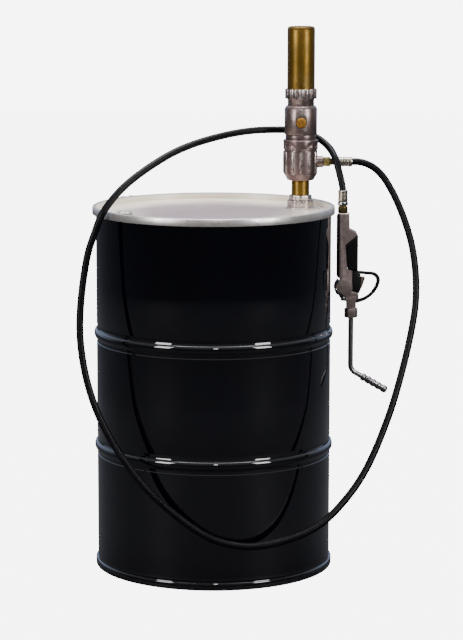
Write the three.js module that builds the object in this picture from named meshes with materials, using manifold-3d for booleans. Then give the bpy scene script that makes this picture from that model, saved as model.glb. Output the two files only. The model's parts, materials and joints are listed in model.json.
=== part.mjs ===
// Fluid transfer pump: an air-operated oil pump standing in the bung of a 205 litre drum,
// with a long delivery hose and a hand-held dispensing gun that hangs from the end of the hose.
// Millimetres, +Z up, floor at Z = 0, front of the object towards -Y.
import * as THREE from 'three';
import { mergeVertices } from 'three/addons/utils/BufferGeometryUtils.js';
import Module from 'manifold-3d';

const wasm = await Module();
wasm.setup();

// ---------------------------------------------------------------- driving dimensions

const GAP = 0.3;
const ROUND = 36;
const TURNED = 24;
const SMALL = 12;

// Drum
const DRUM_X = -68;
const DRUM_R = 286.5;
const DRUM_WALL = 1.2;
const CHIME_R = 291.5;
const CHIME_H = 16;
const BOTTOM_Z = 18;
const HOOP_R = 292.5;
const HOOP_HEIGHTS = [300.5, 578];
const CURL_Z = 878;
const LID_Z = 872;
const RIM_Z = 886.8;
const RING_R = 295.5;
const BUNG_X = 214;
const BUNG_Y = 78;
const RING_SPLIT_ANGLE = 135 * Math.PI / 180;

// Pump, heights above the floor
const TUBE_R = 22;
const TUBE_BORE = 19;
const TUBE_BOTTOM = 92.3;
const OUTLET_BOTTOM = 942;
const BASE_BOTTOM = 1020;
const RING_BOTTOM = 1042;
const VALVE_BOTTOM = 1054;
const NECK_BOTTOM = 1125;
const COLLAR_BOTTOM = 1142;
const COLLAR_TOP = 1166;
const CYLINDER_TOP = 1312;
const PUMP_TOP = 1319;
const OUTLET_R = 42;
const VALVE_R = 40;
const CYLINDER_R = 34;
const CYLINDER_BORE = 31.7;
const ROD_R = 5;
const OUTLET_Z = 987;
const INLET_Z = 1033;
const MUFFLER_Z = 1085;

// Hose and its ends
const HOSE_R = 8.75;
const HOSE_STEPS = 60;
const FERRULE_R = 12;
const FERRULE_END_X = 341;

// Gun, hanging from its swivel
const SWIVEL_X = 316.5;
const SWIVEL_Y = 33;
const GUN_HALF = 12;
const STEM_Z = 683;
const TRIGGER_X = 33;
const TRIGGER_Z = 662;
const SPOUT_X = 22;
const SPOUT_R = 6.5;
const SPOUT_BORE = 4.5;
const SPOUT_BEND_Z = 489;
const SPOUT_BEND_R = 24;
const SPOUT_BEND = Math.PI / 3;
const SPOUT_REACH = 79;

// Middle of the hose from the pump to the gun, chosen by hand
const HOSE_ROUTE = [
  [341.6, 78, 987], [353, 78, 987], [372, 77.4, 983.2], [394, 75.2, 972.6], [415, 71, 953],
  [433, 65.2, 926], [450, 57.5, 893], [469, 45, 846], [485.5, 26, 789], [494, 1, 722],
  [493, -24, 653], [482, -46, 587], [457, -83, 491], [422, -128, 388], [366, -185, 272],
  [314, -226, 206], [253, -263, 155], [187, -285, 127], [93, -297, 110], [5, -298, 125],
  [-87, -290, 182], [-183, -267, 272], [-278, -225, 424], [-317, -191, 592], [-301.5, -170, 776],
  [-282, -170, 840], [-261, -167, 890], [-215, -137, 945], [-129, -71, 1004], [-57, -15, 1035],
  [62, 76, 1059], [148, 122, 1062], [212, 134.5, 1057.5], [250, 122, 1045.5], [271, 105, 1033],
  [288, 80.5, 1016.5], [299.2, 57.5, 994.5], [306.5, 44.8, 968], [312.5, 37.5, 943.5],
  [316.5, 33, 921.4],
];

// ---------------------------------------------------------------- finishes

const FINISHES = {
  drumPaint: { color: 0x0b0d16, roughness: 0.22, metalness: 0.3 },
  lidPaint: { color: 0xd8cfc6, roughness: 0.4, metalness: 0.1 },
  zinc: { color: 0xc4c6c8, roughness: 0.35, metalness: 0.9 },
  rubber: { color: 0x151515, roughness: 0.85, metalness: 0 },
  chromate: { color: 0x8a6a2a, roughness: 0.35, metalness: 0.8 },
  castAluminium: { color: 0xb0a6a2, roughness: 0.45, metalness: 0.8 },
  steel: { color: 0xd0d2d4, roughness: 0.15, metalness: 1 },
  brass: { color: 0x9a8445, roughness: 0.35, metalness: 0.9 },
  bronze: { color: 0x8a6420, roughness: 0.8, metalness: 0.5 },
  nickel: { color: 0xb8b2a4, roughness: 0.25, metalness: 1 },
  hoseRubber: { color: 0x101012, roughness: 0.6, metalness: 0 },
  blackPlastic: { color: 0x16161a, roughness: 0.5, metalness: 0 },
  triggerMetal: { color: 0x7a665c, roughness: 0.4, metalness: 0.8 },
  whitePlastic: { color: 0xe6e2d8, roughness: 0.6, metalness: 0 },
};

// ---------------------------------------------------------------- geometry helpers

function signedVolume(geometry) {
  const p = geometry.getAttribute('position');
  const index = geometry.getIndex();
  const a = new THREE.Vector3();
  const b = new THREE.Vector3();
  const c = new THREE.Vector3();
  let sum = 0;
  for (let i = 0; i < index.count; i += 3) {
    a.fromBufferAttribute(p, index.getX(i));
    b.fromBufferAttribute(p, index.getX(i + 1));
    c.fromBufferAttribute(p, index.getX(i + 2));
    sum += a.dot(b.cross(c)) / 6;
  }
  return sum;
}

// One closed surface with shared corners, no empty triangles and its faces turned outwards.
function closed(source) {
  const bare = source.clone();
  bare.deleteAttribute('normal');
  bare.deleteAttribute('uv');
  const merged = mergeVertices(bare, 1e-4);
  const old = merged.getIndex();
  const kept = [];
  for (let i = 0; i < old.count; i += 3) {
    const [a, b, c] = [old.getX(i), old.getX(i + 1), old.getX(i + 2)];
    if (a !== b && b !== c && a !== c) kept.push(a, b, c);
  }
  merged.setIndex(kept);
  if (signedVolume(merged) < 0) {
    for (let i = 0; i < kept.length; i += 3) [kept[i], kept[i + 1]] = [kept[i + 1], kept[i]];
    merged.setIndex(kept);
  }
  merged.computeVertexNormals();
  return merged;
}

// A turned piece about Z: the profile is a list of [radius, height].
function turned(profile, segments = TURNED) {
  const points = profile.map(([r, z]) => new THREE.Vector2(r, z));
  const first = points[0];
  const last = points[points.length - 1];
  if (first.x > 0 || last.x > 0) points.push(first.clone());
  const geometry = new THREE.LatheGeometry(points, segments);
  geometry.rotateX(Math.PI / 2);
  return closed(geometry);
}

function rod(radius, z0, z1, segments = SMALL) {
  return turned([[0, z0], [radius, z0], [radius, z1], [0, z1]], segments);
}

function pipe(radius, bore, z0, z1, segments = TURNED) {
  return turned([[bore, z0], [radius, z0], [radius, z1], [bore, z1]], segments);
}

function block(x0, x1, y0, y1, z0, z1) {
  const geometry = new THREE.BoxGeometry(x1 - x0, y1 - y0, z1 - z0);
  geometry.translate((x0 + x1) / 2, (y0 + y1) / 2, (z0 + z1) / 2);
  return closed(geometry);
}

// An outline of [x, y] points raised from z0 to z1.
function prism(outline, z0, z1) {
  const shape = new THREE.Shape(outline.map(([x, y]) => new THREE.Vector2(x, y)));
  const settings = { depth: z1 - z0, bevelEnabled: false, curveSegments: 8 };
  const geometry = new THREE.ExtrudeGeometry(shape, settings);
  geometry.translate(0, 0, z0);
  return closed(geometry);
}

// An upright outline of [x, z] points, given thickness along Y with softened edges.
function slab(outline, y0, y1, bevel = 0) {
  const shape = new THREE.Shape(outline.map(([x, z]) => new THREE.Vector2(x, z)));
  const geometry = new THREE.ExtrudeGeometry(shape, {
    depth: y1 - y0 - 2 * bevel,
    bevelEnabled: bevel > 0,
    bevelThickness: bevel,
    bevelSize: bevel,
    bevelOffset: -bevel,
    bevelSegments: 1,
    curveSegments: 8,
  });
  geometry.rotateX(Math.PI / 2);
  geometry.translate(0, y1 - bevel, 0);
  return closed(geometry);
}

function polar(radius, angle) {
  return [radius * Math.cos(angle), radius * Math.sin(angle)];
}

// A closed wavy outline, with one wave for each lobe.
function lobedOutline(radius, depth, lobes, steps) {
  const outline = [];
  for (let i = 0; i < steps; i += 1) {
    const angle = 2 * Math.PI * i / steps;
    outline.push(polar(radius + depth * Math.cos(lobes * angle), angle));
  }
  return outline;
}

function hexOutline(acrossFlats) {
  const outline = [];
  for (let i = 0; i < 6; i += 1) outline.push(polar(acrossFlats / Math.sqrt(3), i * Math.PI / 3));
  return outline;
}

function toSolid(geometry) {
  const positions = geometry.getAttribute('position').array;
  const triVerts = new Uint32Array(geometry.getIndex().array);
  const mesh = new wasm.Mesh({ numProp: 3, vertProperties: new Float32Array(positions), triVerts });
  return new wasm.Manifold(mesh);
}

function fromSolid(solid) {
  const mesh = solid.getMesh();
  const geometry = new THREE.BufferGeometry();
  geometry.setAttribute('position', new THREE.BufferAttribute(new Float32Array(mesh.vertProperties), 3));
  geometry.setIndex(Array.from(mesh.triVerts));
  return closed(geometry);
}

function join(first, ...others) {
  return fromSolid(others.reduce((sum, other) => sum.add(toSolid(other)), toSolid(first)));
}

function cut(first, ...tools) {
  return fromSolid(tools.reduce((rest, tool) => rest.subtract(toSolid(tool)), toSolid(first)));
}

// Lays a piece made along Z on its side, so that it runs along +X.
function alongX(geometry) {
  return geometry.rotateY(Math.PI / 2);
}

// Lays a piece made along Z on its side, so that it runs along +Y.
function alongY(geometry) {
  return geometry.rotateX(-Math.PI / 2);
}

// Lays a piece made along Z on its side, so that it runs along -Y.
function alongFront(geometry) {
  return geometry.rotateX(Math.PI / 2);
}

function piece(parent, name, geometry, finish, position = [0, 0, 0]) {
  const mesh = new THREE.Mesh(geometry, new THREE.MeshStandardMaterial(FINISHES[finish]));
  mesh.name = name;
  mesh.position.set(...position);
  parent.add(mesh);
  return mesh;
}

function group(parent, name, position = [0, 0, 0]) {
  const made = new THREE.Group();
  made.name = name;
  made.position.set(...position);
  parent.add(made);
  return made;
}

// ---------------------------------------------------------------- drum

function hoopProfile(z, inset) {
  return [
    [DRUM_R - inset, z - 20], [DRUM_R - 3 - inset, z - 14], [HOOP_R - 2 - inset, z - 4],
    [HOOP_R - inset, z], [HOOP_R - 2 - inset, z + 4], [DRUM_R - inset, z + 12],
  ];
}

function drumShell() {
  const outside = HOOP_HEIGHTS.flatMap((z) => hoopProfile(z, 0));
  const inside = HOOP_HEIGHTS.flatMap((z) => hoopProfile(z, DRUM_WALL)).reverse();
  const bore = DRUM_R - DRUM_WALL;
  return turned([
    [bore, 0], [CHIME_R - 1, 0], [CHIME_R, 1.5], [CHIME_R, CHIME_H - 4], [DRUM_R, CHIME_H + 4],
    ...outside,
    [DRUM_R, CURL_Z - 6], [DRUM_R + 3, CURL_Z - 4.5], [DRUM_R + 4.3, CURL_Z], [DRUM_R + 3, CURL_Z + 4],
    [bore, CURL_Z + 5],
    ...inside,
  ], ROUND);
}

function drumBottom() {
  const skirt = DRUM_R - DRUM_WALL - GAP;
  return turned([
    [0, BOTTOM_Z + DRUM_WALL], [skirt, BOTTOM_Z + DRUM_WALL], [skirt, 1], [skirt - DRUM_WALL, 1],
    [skirt - DRUM_WALL, BOTTOM_Z - 3], [skirt - 5, BOTTOM_Z], [0, BOTTOM_Z],
  ], ROUND);
}

function drumLid() {
  const lid = turned([
    [0, LID_Z], [266, LID_Z], [268.5, LID_Z + 2.5], [274, LID_Z + 2.5], [277, LID_Z], [280, LID_Z],
    [283, LID_Z + 3], [283, RIM_Z], [290.6, RIM_Z], [292.6, RIM_Z - 2], [292.6, RIM_Z - 7],
    [291.4, RIM_Z - 7], [291.4, RIM_Z - 2.4], [290, RIM_Z - DRUM_WALL], [284.2, RIM_Z - DRUM_WALL],
    [284.2, LID_Z + 2.4], [280.5, LID_Z - DRUM_WALL], [0, LID_Z - DRUM_WALL],
  ], ROUND);
  const pumpHole = rod(34, LID_Z - 5, LID_Z + 5, TURNED).translate(BUNG_X, BUNG_Y, 0);
  const ventHole = rod(17, LID_Z - 5, LID_Z + 5, TURNED).translate(-BUNG_X, -BUNG_Y, 0);
  return cut(lid, pumpHole, ventHole);
}

function closingRing() {
  const full = turned([
    [287.6, 870.2], [294.5, 870.2], [RING_R, 872], [RING_R, 886.6], [293.8, 888.6], [286, 888.6],
    [286, 887.1], [293, 887.1], [294, 886], [294, 871.7], [287.6, 871.7],
  ], ROUND);
  const split = block(270, 310, -7, 7, 860, 900).rotateZ(RING_SPLIT_ANGLE);
  return cut(full, split);
}

function lug(side) {
  const near = side > 0 ? 7.5 : -7.5;
  const far = side > 0 ? 19.5 : -19.5;
  const body = block(296.2, 312, Math.min(near, far), Math.max(near, far), 871.5, 887.5);
  const hole = alongY(rod(4.5, -30, 30, 16)).translate(304.5, 0, 879.5);
  return cut(body, hole).rotateZ(RING_SPLIT_ANGLE);
}

function ringBolt() {
  const shank = rod(4.1, -25, 34, 16);
  const head = prism(hexOutline(13), -31, -25);
  const bolt = alongY(join(shank, head)).translate(304.5, 0, 879.5);
  return bolt.rotateZ(RING_SPLIT_ANGLE);
}

function ringNut() {
  const nut = cut(prism(hexOutline(13), 19.8, 27), rod(4.4, 15, 30, 16));
  return alongY(nut).translate(304.5, 0, 879.5).rotateZ(RING_SPLIT_ANGLE);
}

function flange(bore, hole, plate) {
  const neck = hole - 0.4;
  return turned([
    [bore, LID_Z - 10], [plate, LID_Z - 10], [plate, LID_Z - 1.6], [neck, LID_Z - 1.6], [neck, LID_Z + 0.4],
    [neck + 3.2, LID_Z + 0.4], [neck + 3.2, LID_Z + 2.4], [neck + 2, LID_Z + 3.4], [bore, LID_Z + 3.4],
  ]);
}

function ventPlug() {
  const plug = turned([
    [0, 864], [12.9, 864], [12.9, 877.4], [18.5, 877.4], [18.5, 881],
    [17.5, 882], [10, 882], [10, 870], [0, 870],
  ]);
  return join(plug, block(-10.5, 10.5, -2, 2, 869.5, 880));
}

function buildDrum(root) {
  const drum = group(root, 'drum');
  piece(drum, 'drum_shell', drumShell(), 'drumPaint');
  piece(drum, 'drum_bottom', drumBottom(), 'drumPaint');
  piece(drum, 'drum_lid', drumLid(), 'lidPaint');
  piece(drum, 'lid_gasket', pipe(289.3, 284.8, CURL_Z + 5.3, RIM_Z - 1.5, ROUND), 'rubber');
  piece(drum, 'closing_ring', closingRing(), 'zinc');
  piece(drum, 'ring_lug_plain', lug(-1), 'zinc');
  piece(drum, 'ring_lug_threaded', lug(1), 'zinc');
  piece(drum, 'ring_bolt', ringBolt(), 'zinc');
  piece(drum, 'ring_nut', ringNut(), 'zinc');
  piece(drum, 'bung_flange', flange(29.8, 34, 40), 'zinc', [BUNG_X, BUNG_Y, 0]);
  const vent = group(drum, 'vent', [-BUNG_X, -BUNG_Y, 0]);
  piece(vent, 'vent_flange', flange(13.3, 17, 21), 'zinc');
  piece(vent, 'vent_gasket', pipe(18, 13.4, LID_Z + 3.7, LID_Z + 5.1), 'rubber');
  piece(vent, 'vent_plug', ventPlug(), 'zinc');
}

// ---------------------------------------------------------------- pump

function bungAdaptor() {
  const nose = turned([[22.4, 858], [29.4, 858], [29.4, 880], [22.4, 880]]);
  const head = cut(prism(lobedOutline(31.5, 1.6, 6, 36), 875.9, 893), rod(22.4, 870, 900, TURNED));
  const groove = rod(25, 886, 895, TURNED);
  return cut(join(nose, head), groove);
}

function clampNut() {
  const nut = prism(lobedOutline(27.5, 0.9, 8, 32), 893.3, 905.5);
  return cut(nut, rod(22.4, 890, 910, TURNED));
}

function footValveBody() {
  const body = turned([
    [9, 34], [20, 34], [20, 44.3], [24, 44.3], [24, 110], [23.4, 112], [22.3, 112], [22.3, 92], [16.5, 92],
    [16.5, 66], [9, 60],
  ]);
  return cut(body, alongX(rod(2.3, -30, 30, 12)).translate(0, 0, 87));
}

function strainer() {
  const cup = turned([[0, 26], [21, 26], [22, 27], [22, 44], [20.4, 44], [20.4, 28], [0, 28]]);
  const slots = [0, 1, 2].map((i) => block(-30, 30, -3, 3, 31, 33.4).rotateZ(i * Math.PI / 3));
  return cut(cup, rod(5, 20, 30, 12), ...slots);
}

function pumpPiston() {
  const body = turned([
    [0, 188], [10.5, 188], [10.5, 166], [6.5, 160], [6.5, 150], [18.4, 150], [18.4, 158], [15.6, 158],
    [15.6, 164], [18.4, 164], [18.4, 170], [14, 174], [14, 196], [0, 196],
  ], SMALL);
  const ports = alongX(rod(4.5, -20, 20, 12)).translate(0, 0, 180);
  return cut(body, ports);
}

function outletBody() {
  const casting = turned([
    [22.3, OUTLET_BOTTOM], [31, OUTLET_BOTTOM], [OUTLET_R, 957], [OUTLET_R, 1019.7], [20.3, 1019.7],
    [20.3, 1000], [26, 1000], [26, 964], [17, 964], [17, 958.3], [22.3, 958.3],
  ]);
  const ribs = [];
  for (let i = 1; i < 12; i += 1) {
    ribs.push(block(OUTLET_R - 2, OUTLET_R + 1.5, -2.5, 2.5, 960, 1014).rotateZ(i * Math.PI / 6));
  }
  const boss = alongX(rod(14, 30, 56)).translate(0, 0, OUTLET_Z);
  const gusset = slab([[30, 951], [40, 953], [54, 974], [54, 985], [30, 985]], -5, 5);
  const port = alongX(rod(7, 20, 60)).translate(0, 0, OUTLET_Z);
  const thread = alongX(rod(9.4, 44, 60)).translate(0, 0, OUTLET_Z);
  return cut(join(casting, boss, gusset, ...ribs), port, thread);
}

function outletNipple() {
  const stem = turned([[4.5, 44.4], [9, 44.4], [9, 58], [8.2, 60], [8.2, 92], [4.5, 92]], SMALL);
  const hex = cut(prism(hexOutline(22), 56.4, 73), rod(7, 50, 80, SMALL));
  return alongX(join(stem, hex));
}

function motorBase() {
  const casting = turned([[8, BASE_BOTTOM], [43, BASE_BOTTOM], [43, 1036], [38.5, 1041.7], [8, 1041.7]]);
  const slots = [];
  for (let i = 0; i < 12; i += 1) {
    if (i !== 3) slots.push(block(40.5, 50, -3, 3, 1023, 1034).rotateZ((i + 0.5) * Math.PI / 6));
  }
  const boss = alongY(rod(11, 38.3, 48)).translate(0, 0, INLET_Z);
  const port = alongY(rod(6.6, 15, 60)).translate(0, 0, INLET_Z);
  return cut(join(cut(casting, ...slots), boss), port);
}

function airInletNipple() {
  const stem = turned([
    [3.2, 20], [6.3, 20], [6.3, 50], [6.3, 64], [4.8, 65.5], [4.8, 70], [6, 71.5], [6, 74], [4.8, 77],
    [4.8, 82], [3.2, 82],
  ], SMALL);
  const hex = cut(prism(hexOutline(22), 48.4, 61), rod(5, 40, 70, SMALL));
  return alongY(join(stem, hex));
}

function valveBody() {
  const casting = turned([
    [14, VALVE_BOTTOM], [38, VALVE_BOTTOM], [VALVE_R, VALVE_BOTTOM + 2], [VALVE_R, 1118], [36, 1124.7],
    [14, 1124.7],
  ]);
  const spoolBore = rod(6.5, 1050, 1116, SMALL).translate(26, 0, 0);
  const port = alongFront(rod(8.8, 10, 50)).translate(0, 0, MUFFLER_Z);
  const seat = alongFront(rod(13.4, 33, 50, TURNED)).translate(0, 0, MUFFLER_Z);
  const link = alongX(rod(3, 10, 26, 12)).translate(0, 0, 1078);
  return cut(casting, spoolBore, port, seat, link);
}

function muffler() {
  return alongFront(turned([
    [0, 17], [8.4, 17], [8.4, 33.4], [13, 33.4], [13, 43], [10.5, 46], [0, 46.5],
  ]));
}

function cylinderCollar() {
  const neck = turned([[8, 1125], [32.5, 1125], [32.5, 1150], [8, 1150]]);
  const flutes = prism(lobedOutline(38, 1.1, 16, 64), COLLAR_BOTTOM, COLLAR_TOP);
  return cut(join(neck, flutes), rod(34.3, 1150, 1170, TURNED), rod(8, 1120, 1160, TURNED));
}

function airPiston() {
  return turned([
    [0, 1179], [31.2, 1179], [31.2, 1184], [28.5, 1184], [28.5, 1190], [31.2, 1190], [31.2, 1196], [0, 1196],
  ], SMALL);
}

function valveSpool() {
  return turned([
    [0, 1060], [6, 1060], [6, 1068], [4, 1070], [4, 1084], [6, 1086], [6, 1096], [0, 1096],
  ], SMALL);
}

function buildPump(root) {
  const pump = group(root, 'pump', [BUNG_X, BUNG_Y, 0]);
  piece(pump, 'bung_adaptor', bungAdaptor(), 'zinc');
  piece(pump, 'adaptor_clamp_nut', clampNut(), 'zinc');
  piece(pump, 'adaptor_seal', pipe(24.7, 22.3, 886.3, 891.5), 'rubber');
  piece(pump, 'suction_tube', pipe(TUBE_R, TUBE_BORE, TUBE_BOTTOM, 958), 'chromate');
  piece(pump, 'foot_valve_body', footValveBody(), 'zinc');
  piece(pump, 'strainer', strainer(), 'steel');
  piece(pump, 'ball_stop_pin', alongX(rod(2, -23.4, 23.4, 12)), 'steel', [0, 0, 87]);
  piece(pump, 'foot_ball', closed(new THREE.SphereGeometry(12, 12, 8)), 'steel', [0, 0, 68.6]);
  piece(pump, 'pump_piston', pumpPiston(), 'steel');
  piece(pump, 'piston_seal', pipe(18.7, 15.9, 158.3, 163.7, SMALL), 'whitePlastic');
  piece(pump, 'piston_ball', closed(new THREE.SphereGeometry(8, 12, 8)), 'steel', [0, 0, 165.3]);
  piece(pump, 'piston_rod', rod(ROD_R, 196.3, 1178.7), 'steel');
  piece(pump, 'outlet_body', outletBody(), 'castAluminium');
  piece(pump, 'rod_gland', pipe(20, 5.3, 1001, 1019), 'brass');
  piece(pump, 'outlet_nipple', outletNipple(), 'brass', [0, 0, OUTLET_Z]);
  piece(pump, 'motor_base', motorBase(), 'castAluminium');
  piece(pump, 'air_inlet_nipple', airInletNipple(), 'nickel', [0, 0, INLET_Z]);
  piece(pump, 'motor_ring', pipe(37.5, 10, RING_BOTTOM, VALVE_BOTTOM - GAP), 'castAluminium');
  piece(pump, 'valve_body', valveBody(), 'castAluminium');
  piece(pump, 'muffler', muffler(), 'bronze', [0, 0, MUFFLER_Z]);
  piece(pump, 'valve_spool', valveSpool(), 'steel', [26, 0, 0]);
  piece(pump, 'cylinder_collar', cylinderCollar(), 'castAluminium');
  piece(pump, 'air_cylinder', pipe(CYLINDER_R, CYLINDER_BORE, 1150.3, CYLINDER_TOP), 'chromate');
  piece(pump, 'cylinder_cap', turned([
    [0, 1304], [31.4, 1304], [31.4, CYLINDER_TOP + GAP], [CYLINDER_R, CYLINDER_TOP + GAP],
    [CYLINDER_R, PUMP_TOP - 2], [32, PUMP_TOP], [0, PUMP_TOP],
  ]), 'chromate');
  piece(pump, 'air_piston', airPiston(), 'castAluminium');
  piece(pump, 'air_piston_seal', pipe(31.4, 28.8, 1184.3, 1189.7, SMALL), 'rubber');
}

// ---------------------------------------------------------------- hose

function hoseTube() {
  const stations = HOSE_ROUTE.map((p) => new THREE.Vector3(...p));
  const route = new THREE.CatmullRomCurve3(stations, false, 'centripetal');
  const outline = new THREE.Shape(lobedOutline(HOSE_R, 0, 1, 8).map(([x, y]) => new THREE.Vector2(x, y)));
  return closed(new THREE.ExtrudeGeometry(outline, { steps: HOSE_STEPS, extrudePath: route }));
}

function pumpFerrule() {
  return alongX(turned([
    [4.5, 92.4], [8.6, 92.4], [8.6, 88], [10.5, 88], [10.5, 94], [FERRULE_R, 97], [FERRULE_R, 103],
    [FERRULE_R - 1, 105], [FERRULE_R - 1, 109], [FERRULE_R, 111], [FERRULE_R, FERRULE_END_X - BUNG_X],
    [10, FERRULE_END_X - BUNG_X], [10, 102], [4.5, 102],
  ], SMALL));
}

function gunFerrule() {
  return turned([
    [3.5, 880], [7, 880], [7, 893.3], [10.5, 893.3], [FERRULE_R, 896], [FERRULE_R, 902], [FERRULE_R - 1, 904],
    [FERRULE_R - 1, 908], [FERRULE_R, 910], [FERRULE_R, 921], [10, 921], [10, 901], [3.5, 901],
  ], SMALL);
}

function buildHose(root) {
  piece(root, 'delivery_hose', hoseTube(), 'hoseRubber');
  piece(root, 'hose_ferrule_pump', pumpFerrule(), 'nickel', [BUNG_X, BUNG_Y, OUTLET_Z]);
  piece(root, 'hose_ferrule_gun', gunFerrule(), 'nickel', [SWIVEL_X, SWIVEL_Y, 0]);
}

// ---------------------------------------------------------------- gun

function inletFitting() {
  const spigot = turned([[4, 852], [8, 852], [8, 868], [4, 868]], SMALL);
  const hex = cut(prism(hexOutline(21), 866, 884), rod(6, 860, 890, SMALL));
  const sleeve = pipe(8.5, 4, 866, 878, SMALL);
  return cut(join(spigot, hex, sleeve), rod(7.4, 878, 890, SMALL));
}

function gunBody() {
  const handle = slab([
    [-9, 865.6], [16, 865.6], [17, 828], [33, 820], [37.5, 811.5], [8, 787], [12, 727.5], [24.5, 723.8],
    [24.5, 672], [40, 668], [40, 655], [34, 650], [34, 630], [10, 630], [10, 648], [-3, 649], [-4.5, 660],
    [0, 668], [0, 700], [-9, 705],
  ], -GUN_HALF, GUN_HALF, 2);
  const head = alongY(rod(20, -13, 13, TURNED)).translate(4.5, 0, STEM_Z);
  const inlet = rod(4, 690, 870, 12).translate(0.5, 0, 0);
  const inletThread = rod(8.3, 851, 870, SMALL);
  const chamber = alongX(rod(8.5, -20, 10, SMALL)).translate(0, 0, STEM_Z);
  const seat = alongX(rod(5.5, 5, 19, SMALL)).translate(0, 0, STEM_Z);
  const guide = alongX(rod(3.3, 15, 30, SMALL)).translate(0, 0, STEM_Z);
  const outlet = rod(4.5, 625, STEM_Z, 12).translate(18, 0, 0);
  const spoutSocket = rod(6.9, 625, 646, SMALL).translate(SPOUT_X, 0, 0);
  const triggerSlot = block(25.2, 45, -7.2, 7.2, 650, 680);
  const pinHole = alongY(rod(2.3, -20, 20, 12)).translate(TRIGGER_X, 0, TRIGGER_Z);
  const screwHole = alongY(rod(2.3, -20, -5, 12)).translate(3, 0, 656);
  return cut(
    join(handle, head), inlet, inletThread, chamber, seat, guide, outlet, spoutSocket, triggerSlot, pinHole,
    screwHole,
  );
}

function gripCover() {
  return slab([[8.7, 785.8], [38, 810.2], [38, 724.4], [25, 724.4], [12.8, 728.2]], -14, 14, 3);
}

function handleInsert() {
  return slab([[-14.5, 858], [-12, 864], [-9.3, 864], [-9.3, 706], [-12.5, 706], [-14.5, 712]], -8, 8, 1.5);
}

function headBumper() {
  const outline = [];
  for (let i = 0; i <= 8; i += 1) outline.push(polar(25, (128 + 100 * i / 8) * Math.PI / 180));
  for (let i = 8; i >= 0; i -= 1) outline.push(polar(20.4, (128 + 100 * i / 8) * Math.PI / 180));
  const ring = slab(outline.map(([x, z]) => [x + 4.5, z + STEM_Z]), -16.4, 10, 0);
  const ear = slab([[-13, 668], [-8, 671], [7, 661], [9, 655.5], [5, 650], [-1, 650.5]], -16.4, -13.4, 0);
  const hole = alongY(rod(2.3, -30, -5, 12)).translate(3, 0, 656);
  return cut(join(ring, ear), hole);
}

function bumperScrew() {
  return alongFront(turned([[0, 7], [2, 7], [2, 16.7], [3.8, 16.7], [3.8, 18], [2.6, 19], [0, 19]], 16));
}

function triggerGuard() {
  const shape = new THREE.Shape();
  shape.moveTo(25, 724);
  shape.lineTo(74, 720);
  shape.bezierCurveTo(86, 718.5, 96, 708, 92.5, 694);
  shape.bezierCurveTo(88, 674, 70, 649, 34.6, 642);
  shape.lineTo(34.6, 648.5);
  shape.lineTo(41.5, 653.5);
  shape.bezierCurveTo(60, 656, 78, 674, 83, 694);
  shape.bezierCurveTo(86, 703, 79, 710.5, 72, 712);
  shape.lineTo(25, 716.5);
  const geometry = new THREE.ExtrudeGeometry(shape, {
    depth: 7, bevelEnabled: true, bevelThickness: 1.5, bevelSize: 1.5, bevelOffset: -1.5, bevelSegments: 1,
    curveSegments: 7,
  });
  geometry.rotateX(Math.PI / 2);
  geometry.translate(0, 3.5, 0);
  return closed(geometry);
}

function trigger() {
  const outline = [[30, 668], [44, 706], [47, 708], [54, 708], [56, 704], [49, 684], [38, 660], [30, 660]];
  const lever = slab(outline, -6.5, 6.5, 1);
  const boss = alongY(rod(5.5, -6.5, 6.5, SMALL)).translate(TRIGGER_X, 0, TRIGGER_Z);
  const hole = alongY(rod(2.3, -20, 20, 12)).translate(TRIGGER_X, 0, TRIGGER_Z);
  return cut(join(lever, boss), hole);
}

function valveStem() {
  return alongX(turned([
    [0, 3.6], [7, 3.6], [7.2, 7], [6.6, 9.5], [3, 9.5], [3, 32.4], [1.4, 34.3], [0, 34.3],
  ], SMALL));
}

function valveSpring() {
  class Coil extends THREE.Curve {
    getPoint(t, target = new THREE.Vector3()) {
      const angle = t * 4.5 * 2 * Math.PI;
      return target.set(-9.2 + 11.8 * t, 5.4 * Math.cos(angle), 5.4 * Math.sin(angle));
    }
  }
  const wire = new THREE.Shape(lobedOutline(0.8, 0, 1, 5).map(([x, y]) => new THREE.Vector2(x, y)));
  return closed(new THREE.ExtrudeGeometry(wire, { steps: 45, extrudePath: new Coil() }));
}

function valveCap() {
  const plug = alongX(turned([[0, -13.4], [7.6, -13.4], [8.2, -12.8], [8.2, -10.4], [0, -10.4]], SMALL));
  return cut(plug, block(-17, -12, -7, 7, -1, 1));
}

class SpoutPath extends THREE.CurvePath {
  constructor() {
    super();
    const bendStart = new THREE.Vector3(SPOUT_X, 0, SPOUT_BEND_Z);
    const centreX = SPOUT_X + SPOUT_BEND_R;
    const onBend = (angle) => new THREE.Vector3(
      centreX - SPOUT_BEND_R * Math.cos(angle),
      0,
      SPOUT_BEND_Z - SPOUT_BEND_R * Math.sin(angle),
    );
    const middle = onBend(SPOUT_BEND / 2);
    const bendEnd = onBend(SPOUT_BEND);
    const run = new THREE.Vector3(Math.sin(SPOUT_BEND), 0, -Math.cos(SPOUT_BEND));
    const points = [
      new THREE.Vector3(SPOUT_X, 0, 645), new THREE.Vector3(SPOUT_X, 0, 560), bendStart, middle, bendEnd,
      bendEnd.clone().addScaledVector(run, SPOUT_REACH / 2),
      bendEnd.clone().addScaledVector(run, SPOUT_REACH),
    ];
    this.end = points[points.length - 1];
    this.add(new THREE.CatmullRomCurve3(points, false, 'centripetal'));
  }
}

function spoutTube() {
  const wall = new THREE.Shape(lobedOutline(SPOUT_R, 0, 1, 12).map(([x, y]) => new THREE.Vector2(x, y)));
  const bore = lobedOutline(SPOUT_BORE, 0, 1, 12).map(([x, y]) => new THREE.Vector2(x, y));
  wall.holes.push(new THREE.Path(bore));
  return closed(new THREE.ExtrudeGeometry(wall, { steps: 16, extrudePath: new SpoutPath() }));
}

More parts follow.
